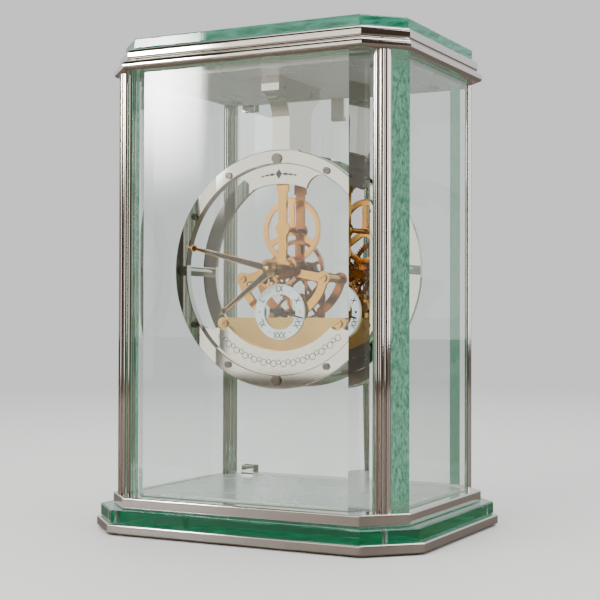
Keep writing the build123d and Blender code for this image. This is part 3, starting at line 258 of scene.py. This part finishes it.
# %% Shared wear group
wear = bpy.data.node_groups.new("handled_metal", "ShaderNodeTree")
wear.interface.new_socket("Smudge size", in_out="INPUT", socket_type="NodeSocketFloat")
wear.interface.new_socket("Low roughness", in_out="INPUT", socket_type="NodeSocketFloat")
wear.interface.new_socket("High roughness", in_out="INPUT", socket_type="NodeSocketFloat")
wear.interface.new_socket("Roughness", in_out="OUTPUT", socket_type="NodeSocketFloat")
wear.interface.new_socket("Scratch height", in_out="OUTPUT", socket_type="NodeSocketFloat")
wear_in = wear.nodes.new("NodeGroupInput")
wear_out = wear.nodes.new("NodeGroupOutput")
where = wear.nodes.new("ShaderNodeTexCoord")
smudge = wear.nodes.new("ShaderNodeTexNoise")
smudge.inputs["Detail"].default_value = 4.0
spread = wear.nodes.new("ShaderNodeMapRange")
spread.inputs["From Min"].default_value = 0.35
spread.inputs["From Max"].default_value = 0.7
scratch = wear.nodes.new("ShaderNodeTexNoise")
scratch.inputs["Scale"].default_value = 900.0
scratch.inputs["Detail"].default_value = 2.0
wear.links.new(where.outputs["Object"], smudge.inputs["Vector"])
wear.links.new(where.outputs["Object"], scratch.inputs["Vector"])
wear.links.new(wear_in.outputs["Smudge size"], smudge.inputs["Scale"])
wear.links.new(smudge.outputs["Fac"], spread.inputs["Value"])
wear.links.new(wear_in.outputs["Low roughness"], spread.inputs["To Min"])
wear.links.new(wear_in.outputs["High roughness"], spread.inputs["To Max"])
wear.links.new(spread.outputs["Result"], wear_out.inputs["Roughness"])
wear.links.new(scratch.outputs["Fac"], wear_out.inputs["Scratch height"])


# %% [markdown]
# A metal finish is the shared wear group, one colour with a slight change across the piece,
# and a bump. The same maker serves chrome, gilt brass, steel, copper and gilt in painted shade.

# %% Metal finishes
SKIN_DEPTH = 0.0002


def metal(name, colour, shade, low, high, scratch_strength=0.02, smudge_size=40.0, metallic=1.0):
    """A handled metal finish that drifts between two close colours."""
    finish = bpy.data.materials.new(name)
    finish.use_nodes = True
    tree = finish.node_tree
    shader = tree.nodes["Principled BSDF"]
    shader.inputs["Metallic"].default_value = metallic
    handled = tree.nodes.new("ShaderNodeGroup")
    handled.node_tree = wear
    handled.inputs["Smudge size"].default_value = smudge_size
    handled.inputs["Low roughness"].default_value = low
    handled.inputs["High roughness"].default_value = high
    place = tree.nodes.new("ShaderNodeTexCoord")
    cloud = tree.nodes.new("ShaderNodeTexNoise")
    cloud.inputs["Scale"].default_value = smudge_size / 2
    tint = tree.nodes.new("ShaderNodeMix")
    tint.data_type = "RGBA"
    tint.inputs["A"].default_value = (*colour, 1)
    tint.inputs["B"].default_value = (*shade, 1)
    bump = tree.nodes.new("ShaderNodeBump")
    bump.inputs["Strength"].default_value = scratch_strength
    bump.inputs["Distance"].default_value = SKIN_DEPTH
    tree.links.new(place.outputs["Object"], cloud.inputs["Vector"])
    tree.links.new(cloud.outputs["Fac"], tint.inputs["Factor"])
    tree.links.new(tint.outputs["Result"], shader.inputs["Base Color"])
    tree.links.new(handled.outputs["Roughness"], shader.inputs["Roughness"])
    tree.links.new(handled.outputs["Scratch height"], bump.inputs["Height"])
    tree.links.new(bump.outputs["Normal"], shader.inputs["Normal"])
    return finish


chrome = metal("polished_chrome", (0.80, 0.775, 0.735), (0.73, 0.70, 0.66), 0.03, 0.09)
dial_chrome = metal("dial_chrome", (0.86, 0.82, 0.77), (0.80, 0.76, 0.71), 0.02, 0.06, 0.01)
liner = metal("polished_liner", (0.74, 0.735, 0.72), (0.68, 0.675, 0.66), 0.20, 0.32, 0.04, 25.0, 0.5)
steel = metal("plain_steel", (0.45, 0.44, 0.43), (0.36, 0.35, 0.34), 0.28, 0.42, 0.08)
gilt = metal("gilt_brass", (0.84, 0.47, 0.12), (0.76, 0.39, 0.08), 0.07, 0.16, 0.03, 60.0)
gilt_wheel = metal("gilt_wheels", (0.90, 0.47, 0.12), (0.78, 0.35, 0.08), 0.10, 0.20, 0.06, 80.0)
# The rear bridge and the back wheels are gilt; this darker copper colour is painted shade on them.
gilt_in_painted_shade = metal("gilt_in_painted_shade", (0.50, 0.19, 0.05), (0.34, 0.11, 0.03), 0.12, 0.26, 0.06, 80.0)
dial_steel = metal("dial_screw_steel", (0.24, 0.20, 0.17), (0.16, 0.13, 0.11), 0.10, 0.2, 0.03, 60.0)
coil_wire = metal("coil_wire", (0.55, 0.22, 0.10), (0.42, 0.15, 0.06), 0.25, 0.40, 0.08)

# %% [markdown]
# The big gilt plate is grained with fine straight lines. Noise that is squeezed along one
# axis makes such a grain, and it feeds the bump of a gilt finish.

# %% Grained gilt plate
grained = metal("grained_gilt", (0.84, 0.54, 0.20), (0.76, 0.45, 0.14), 0.16, 0.26, 0.05, 60.0)
grain_tree = grained.node_tree
grain_place = grain_tree.nodes.new("ShaderNodeTexCoord")
grain_squeeze = grain_tree.nodes.new("ShaderNodeMapping")
grain_squeeze.inputs["Scale"].default_value = (40.0, 40.0, 2600.0)
grain = grain_tree.nodes.new("ShaderNodeTexNoise")
grain.inputs["Scale"].default_value = 1.0
grain_bump = grain_tree.nodes.new("ShaderNodeBump")
grain_bump.inputs["Strength"].default_value = 0.12
grain_bump.inputs["Distance"].default_value = 0.0001
grain_tree.links.new(grain_place.outputs["Object"], grain_squeeze.inputs["Vector"])
grain_tree.links.new(grain_squeeze.outputs["Vector"], grain.inputs["Vector"])
grain_tree.links.new(grain.outputs["Fac"], grain_bump.inputs["Height"])
grain_tree.links.new(grain_bump.outputs["Normal"], grain_tree.nodes["Principled BSDF"].inputs["Normal"])


# %% [markdown]
# Plate glass looks clear from the front and deep green through its edge, because the edge
# is a long way through. A volume that takes up red light along the path does this by
# itself. Shadow rays pass straight through, so that lamps light the inside of the case.
#
# Two things are stage craft. The surface mirrors less than real glass, which keeps the view
# inside clear. Light that runs along a panel is mirrored more often than can be followed, so
# after a few bounces it ends in a mottled green glow.

# %% Glass
GLASS_IOR = 1.51
SHEEN_LEVEL = 0.3
FOLLOWED_BOUNCES = 2.5


def glass(name, absorbed, density, deep_dark, deep_light, streaks):
    """Clear glass whose colour deepens with distance, with a glow for light piped along it."""
    finish = bpy.data.materials.new(name)
    finish.use_nodes = True
    tree = finish.node_tree
    shader = tree.nodes["Principled BSDF"]
    shader.inputs["Base Color"].default_value = (1, 1, 1, 1)
    shader.inputs["Transmission Weight"].default_value = 1.0
    shader.inputs["IOR"].default_value = GLASS_IOR
    shader.inputs["Specular IOR Level"].default_value = SHEEN_LEVEL
    place = tree.nodes.new("ShaderNodeTexCoord")
    film = tree.nodes.new("ShaderNodeTexNoise")
    film.inputs["Scale"].default_value = 18.0
    film_range = tree.nodes.new("ShaderNodeMapRange")
    film_range.inputs["From Min"].default_value = 0.55
    film_range.inputs["From Max"].default_value = 0.8
    film_range.inputs["To Max"].default_value = 0.015
    tree.links.new(place.outputs["Object"], film.inputs["Vector"])
    tree.links.new(film.outputs["Fac"], film_range.inputs["Value"])
    tree.links.new(film_range.outputs["Result"], shader.inputs["Roughness"])
    ray = tree.nodes.new("ShaderNodeLightPath")
    through = tree.nodes.new("ShaderNodeBsdfTransparent")
    through.inputs["Color"].default_value = (0.90, 0.96, 0.94, 1)
    pick = tree.nodes.new("ShaderNodeMixShader")
    out = tree.nodes["Material Output"]
    deep = tree.nodes.new("ShaderNodeMath")
    deep.operation = "GREATER_THAN"
    deep.inputs[1].default_value = FOLLOWED_BOUNCES
    stretch = tree.nodes.new("ShaderNodeMapping")
    stretch.inputs["Scale"].default_value = streaks
    mottle = tree.nodes.new("ShaderNodeTexNoise")
    mottle.inputs["Scale"].default_value = 1.0
    mottle.inputs["Detail"].default_value = 5.0
    mottle.inputs["Roughness"].default_value = 0.7
    mottle_range = tree.nodes.new("ShaderNodeMapRange")
    mottle_range.inputs["From Min"].default_value = 0.35
    mottle_range.inputs["From Max"].default_value = 0.65
    piped = tree.nodes.new("ShaderNodeMix")
    piped.data_type = "RGBA"
    piped.inputs["A"].default_value = (*deep_dark, 1)
    piped.inputs["B"].default_value = (*deep_light, 1)
    glow = tree.nodes.new("ShaderNodeEmission")
    body = tree.nodes.new("ShaderNodeMixShader")
    tree.links.new(ray.outputs["Glossy Depth"], deep.inputs[0])
    tree.links.new(place.outputs["Object"], stretch.inputs["Vector"])
    tree.links.new(stretch.outputs["Vector"], mottle.inputs["Vector"])
    tree.links.new(mottle.outputs["Fac"], mottle_range.inputs["Value"])
    tree.links.new(mottle_range.outputs["Result"], piped.inputs["Factor"])
    tree.links.new(piped.outputs["Result"], glow.inputs["Color"])
    tree.links.new(deep.outputs["Value"], body.inputs["Fac"])
    tree.links.new(shader.outputs["BSDF"], body.inputs[1])
    tree.links.new(glow.outputs["Emission"], body.inputs[2])
    tree.links.new(ray.outputs["Is Shadow Ray"], pick.inputs["Fac"])
    tree.links.new(body.outputs["Shader"], pick.inputs[1])
    tree.links.new(through.outputs["BSDF"], pick.inputs[2])
    tree.links.new(pick.outputs["Shader"], out.inputs["Surface"])
    depth = tree.nodes.new("ShaderNodeVolumeAbsorption")
    depth.inputs["Color"].default_value = (*absorbed, 1)
    depth.inputs["Density"].default_value = density
    tree.links.new(depth.outputs["Volume"], out.inputs["Volume"])
    return finish


panel_glass = glass("panel_glass", (0.30, 0.80, 0.62), 9.0,
                    (0.08, 0.22, 0.14), (0.36, 0.58, 0.45), (420.0, 420.0, 300.0))
slab_glass = glass("slab_glass", (0.20, 0.80, 0.62), 20.0,
                   (0.02, 0.12, 0.08), (0.17, 0.44, 0.34), (70.0, 70.0, 700.0))
top_glass = glass("top_slab_glass", (0.30, 0.82, 0.68), 14.0,
                  (0.06, 0.22, 0.17), (0.40, 0.66, 0.57), (90.0, 90.0, 260.0))


# %% [markdown]
# Paint, plastic and rubber share one simple maker: a colour that drifts a little, a
# roughness that follows the same noise, and a fine bump for the skin of the material.

# %% Coatings
def coating(name, colour, shade, roughness, grain_scale, bump_strength, coat=0.0):
    """A painted or moulded surface."""
    finish = bpy.data.materials.new(name)
    finish.use_nodes = True
    tree = finish.node_tree
    shader = tree.nodes["Principled BSDF"]
    shader.inputs["Coat Weight"].default_value = coat
    place = tree.nodes.new("ShaderNodeTexCoord")
    skin = tree.nodes.new("ShaderNodeTexNoise")
    skin.inputs["Scale"].default_value = grain_scale
    skin.inputs["Detail"].default_value = 3.0
    tint = tree.nodes.new("ShaderNodeMix")
    tint.data_type = "RGBA"
    tint.inputs["A"].default_value = (*colour, 1)
    tint.inputs["B"].default_value = (*shade, 1)
    rough = tree.nodes.new("ShaderNodeMapRange")
    rough.inputs["To Min"].default_value = roughness * 0.8
    rough.inputs["To Max"].default_value = roughness * 1.2
    bump = tree.nodes.new("ShaderNodeBump")
    bump.inputs["Strength"].default_value = bump_strength
    bump.inputs["Distance"].default_value = SKIN_DEPTH
    tree.links.new(place.outputs["Object"], skin.inputs["Vector"])
    tree.links.new(skin.outputs["Fac"], tint.inputs["Factor"])
    tree.links.new(skin.outputs["Fac"], rough.inputs["Value"])
    tree.links.new(skin.outputs["Fac"], bump.inputs["Height"])
    tree.links.new(tint.outputs["Result"], shader.inputs["Base Color"])
    tree.links.new(rough.outputs["Result"], shader.inputs["Roughness"])
    tree.links.new(bump.outputs["Normal"], shader.inputs["Normal"])
    return finish


enamel = coating("dark_enamel", (0.004, 0.005, 0.016), (0.008, 0.008, 0.022), 0.45, 300.0, 0.02, 0.1)
dial_white = coating("dial_white", (0.90, 0.91, 0.93), (0.85, 0.87, 0.90), 0.38, 700.0, 0.05)
dial_print = coating("dial_print", (0.02, 0.03, 0.06), (0.05, 0.06, 0.09), 0.5, 900.0, 0.02)
engraving = coating("engraving", (0.02, 0.018, 0.016), (0.05, 0.045, 0.04), 0.6, 900.0, 0.05)
black_plastic = coating("black_plastic", (0.02, 0.02, 0.02), (0.035, 0.035, 0.035), 0.45, 1200.0, 0.15)
board_green = coating("board_green", (0.02, 0.12, 0.06), (0.03, 0.20, 0.09), 0.35, 400.0, 0.15)
cell_jacket = coating("cell_jacket", (0.10, 0.11, 0.13), (0.16, 0.17, 0.19), 0.25, 60.0, 0.02, 0.4)
pad_rubber = coating("pad_rubber", (0.03, 0.03, 0.03), (0.06, 0.06, 0.06), 0.8, 1500.0, 0.3)

# %% [markdown]
# Each loaded piece gets its finish by name. Any piece that isn't listed is chrome.

# %% Finishes on the loaded pieces
finishes = {
    liner: ["floor_plate", "ceiling_plate"],
    dial_chrome: ["dial_plate", "dial_ring", "rear_ring", "hanger_bracket", "dial_pillars"],
    steel: ["tie_rods", "hanger_studs", "door_catch", "stator", "rotor", "minute_arbor",
            "battery_contacts"],
    gilt: ["front_bridge", "movement_pillars", "bridge_screws", "hour_hand", "minute_hand",
           "hand_boss", "centre_tube"],
    grained: ["bottom_plate"],
    gilt_wheel: ["hour_wheel", "minute_wheel", "display_wheel", "seconds_wheel"],
    # These pieces are gilt; their copper colour is painted shade.
    gilt_in_painted_shade: ["rear_bridge", "centre_wheel", "third_wheel", "intermediate_wheel"],
    dial_steel: ["dial_screws_small", "dial_screws_large"],
    coil_wire: ["drive_coil"],
    panel_glass: ["front_glass", "left_glass", "right_glass", "back_door_glass"],
    slab_glass: ["base_glass_slab"],
    top_glass: ["top_glass_slab"],
    enamel: ["hour_hand_inlay", "minute_hand_inlay", "seconds_hand"],
    dial_white: ["seconds_dial"],
    black_plastic: ["battery_holder", "setting_knob"],
    board_green: ["circuit_board"],
    cell_jacket: ["battery_cell"],
    pad_rubber: ["foot_pads"],
}
chosen = {name: finish for finish, names in finishes.items() for name in names}
for name, piece in nodes.items():
    piece.data.materials.clear()
    piece.data.materials.append(chosen.get(name, chrome))
print("chrome pieces:", len(nodes) - len(chosen))

# %% [markdown]
# Print and engraving are thin raised shapes that lie on a face. Each is made flat at the
# origin, turned upright to face the front, and its place is then applied to its mesh.

# %% Helpers for shapes on the dial
seconds_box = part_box("seconds_dial")
seconds_centre = Vector(((seconds_box[0].x + seconds_box[1].x) / 2, seconds_box[0].y,
                         (seconds_box[0].z + seconds_box[1].z) / 2))
ring_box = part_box("dial_ring")
hand_axis = Vector((0, ring_box[0].y, (ring_box[0].z + ring_box[1].z) / 2))


def around(centre, radius, clock_angle, face_y):
    """A point on an upright face, at a clock angle round a centre."""
    turn = radians(clock_angle)
    return Vector((centre.x + radius * sin(turn), face_y, centre.z + radius * cos(turn)))


def settle(piece, place, clock_turn, finish, body):
    """Stand a flat piece upright at a place, apply it, and give it its finish and body."""
    upright = Matrix.Rotation(radians(90), 4, "X")
    spin = Matrix.Rotation(radians(-clock_turn), 4, "Z")
    piece.data.transform(Matrix.Translation(place) @ upright @ spin @ piece.matrix_world)
    piece.matrix_world = Matrix.Identity(4)
    piece.data.materials.clear()
    piece.data.materials.append(finish)
    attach(piece, body)


def join(name, parts):
    """Join several meshes into one named piece."""
    bpy.ops.object.select_all(action="DESELECT")
    for part in parts:
        part.select_set(True)
    bpy.context.view_layer.objects.active = parts[0]
    bpy.ops.object.join()
    made = bpy.context.object
    made.name = name
    made.data.name = name


# %% [markdown]
# The seconds dial counts sixty seconds in Roman numerals, every ten, with a dot between
# them. The letters are text turned into mesh with a hair's thickness, like a printed film.

# %% Numerals of the seconds dial
PRINT = 0.05 * MM
NUMERAL_RADIUS = 14.0 * MM
NUMERAL_HEIGHT = 5.6 * MM
NUMERAL_SLIMNESS = 0.72
numerals = []
for clock_turn, text in ((0, "LX"), (60, "X"), (120, "XX"), (180, "XXX"), (240, "XL"), (300, "L")):
    bpy.ops.object.select_all(action="DESELECT")
    bpy.ops.object.text_add(location=(0, 0, 0))
    letter = bpy.context.object
    letter.data.body = text
    letter.data.size = NUMERAL_HEIGHT
    letter.data.align_x = "CENTER"
    letter.data.align_y = "CENTER"
    letter.data.extrude = PRINT / 2
    letter.data.offset = 0.09 * MM
    bpy.ops.object.convert(target="MESH")
    letter.data.transform(Matrix.Diagonal((NUMERAL_SLIMNESS, 1.0, 1.0, 1.0)))
    place = around(seconds_centre, NUMERAL_RADIUS, clock_turn, seconds_box[0].y - PRINT / 2)
    settle(letter, place, clock_turn, dial_print, "case")
    numerals.append(letter)
join("seconds_numerals", numerals)

# %% [markdown]
# The dots are low cylinders with a rounded rim: four small dark ones between the numerals,
# and a larger gilt one at three and at nine o'clock.

# %% Dots of the seconds dial
def dot(radius, height, place, finish):
    """A low round stud on an upright face."""
    bpy.ops.object.select_all(action="DESELECT")
    bpy.ops.mesh.primitive_cylinder_add(vertices=24, radius=radius, depth=height)
    made = bpy.context.object
    bpy.ops.object.mode_set(mode="EDIT")
    bpy.ops.mesh.select_all(action="SELECT")
    bpy.ops.mesh.bevel(offset=height * 0.3, segments=2)
    bpy.ops.object.mode_set(mode="OBJECT")
    settle(made, place, 0, finish, "case")
    return made


small_dots = [dot(0.35 * MM, 0.08 * MM,
                  around(seconds_centre, NUMERAL_RADIUS, turn, seconds_box[0].y),
                  dial_print) for turn in (30, 150, 210, 330)]
join("seconds_dots", small_dots)
gilt_dots = [dot(0.8 * MM, 0.12 * MM,
                 around(seconds_centre, NUMERAL_RADIUS, turn, seconds_box[0].y),
                 gilt) for turn in (90, 270)]
join("seconds_gilt_dots", gilt_dots)

# %% [markdown]
# The two solid segments of the dial plate carry engraving on the real clock. Here it is a
# plain lozenge between two bars at the top, and a chain of small rings at the bottom. A
# ring is a thin torus sunk half into the plate.

# %% Engraved ornament
plate_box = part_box("dial_plate")
plate_face = plate_box[0].y


def engraved_ring(radius, place):
    """A thin engraved ring on the dial plate."""
    bpy.ops.object.select_all(action="DESELECT")
    bpy.ops.mesh.primitive_torus_add(major_radius=radius, minor_radius=0.2 * MM,
                                     major_segments=28, minor_segments=6)
    made = bpy.context.object
    made.data.transform(Matrix.Diagonal((1, 1, 0.5, 1)))
    settle(made, place, 0, engraving, "case")
    return made


def engraved_lozenge(width, height, place, clock_turn):
    """A filled, slightly raised lozenge; its width and height are in millimetres."""
    bpy.ops.object.select_all(action="DESELECT")
    bpy.ops.mesh.primitive_circle_add(vertices=4, radius=1.0 * MM, fill_type="NGON")
    made = bpy.context.object
    made.data.transform(Matrix.Diagonal((width / 2, height / 2, 1, 1)))
    bpy.ops.object.mode_set(mode="EDIT")
    bpy.ops.mesh.select_all(action="SELECT")
    bpy.ops.mesh.extrude_region_move(TRANSFORM_OT_translate={"value": (0, 0, 0.06 * MM)})
    bpy.ops.mesh.select_all(action="SELECT")
    bpy.ops.mesh.normals_make_consistent(inside=False)
    bpy.ops.object.mode_set(mode="OBJECT")
    settle(made, place, clock_turn, engraving, "case")
    return made


CHAIN_RADIUS = 57.3 * MM
LINK_ANGLE = 3.4
LINKS_EACH_SIDE = 13
LOZENGE_RADIUS = 58.4 * MM
chain = []
for link in range(-LINKS_EACH_SIDE, LINKS_EACH_SIDE + 1):
    angle = 180 + link * LINK_ANGLE
    radius = CHAIN_RADIUS + (0.5 * MM if link % 2 else -0.5 * MM)
    chain.append(engraved_ring((1.9 if link % 2 else 1.4) * MM, around(hand_axis, radius, angle, plate_face)))
join("dial_chain", chain)
bars = [engraved_lozenge(4.4, 6.0, around(hand_axis, LOZENGE_RADIUS, 0, plate_face), 0)]
for side in (-1, 1):
    for count, angle in enumerate((4.6, 8.0, 11.0)):
        bars.append(engraved_lozenge(5.2 - count, 1.9 - 0.4 * count,
                                     around(hand_axis, LOZENGE_RADIUS, side * angle, plate_face),
                                     side * angle))
join("dial_lozenge", bars)
